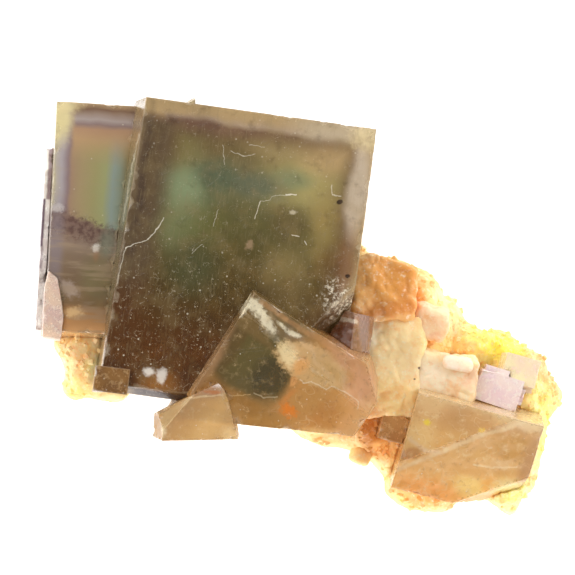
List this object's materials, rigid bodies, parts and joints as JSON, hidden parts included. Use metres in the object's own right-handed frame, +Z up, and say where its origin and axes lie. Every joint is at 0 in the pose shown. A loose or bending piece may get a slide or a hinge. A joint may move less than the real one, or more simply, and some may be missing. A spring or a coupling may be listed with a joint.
{
  "type": "fluorite specimen",
  "caption": "Mineral specimen: colour-zoned fluorite cubes grown together on a thin orange rock crust, lying on its flat back with the crystals facing up.",
  "frame": {"origin": "bottom centre of the bounding box, on the surface the crust's trimmed back rests on", "axes": "+Z up, away from the crust's back; +X along the crust, from the crystals on its edge to its free end; +Y across it, towards the free end of the main crystal"},
  "size_m": [0.0786, 0.0598, 0.0347],
  "materials": {
    "smoky_zoned": "clear to hazy zoned fluorite, glossy with fine scratches",
    "straw": "pale straw to peach fluorite, glossy and chipped",
    "lilac": "pale lilac and pink fluorite, satin",
    "plum": "dark purple-brown fluorite, satin",
    "cream": "milky cream fluorite, satin",
    "orange": "iron-stained orange fluorite, satin",
    "crust": "granular translucent rock, iron-stained orange, yellow and cream"
  },
  "bodies": {
    "root": {"main_crystal": "smoky_zoned", "left_crystal": "smoky_zoned", "front_crystal": "straw", "foot_crystal": "straw", "corner_cube": "straw", "right_crystal": "straw", "brown_cube": "straw", "fringe_cube": "straw", "top_knob": "straw", "edge_plate": "plum", "side_crystal": "plum", "orange_block": "orange", "cream_block": "cream", "cream_cube": "cream", "white_sliver": "cream", "rounded_cube": "lilac", "lilac_crystal": "lilac", "pink_cube": "lilac", "pink_flake": "lilac", "crust": "crust"}
  },
  "joints": []
}
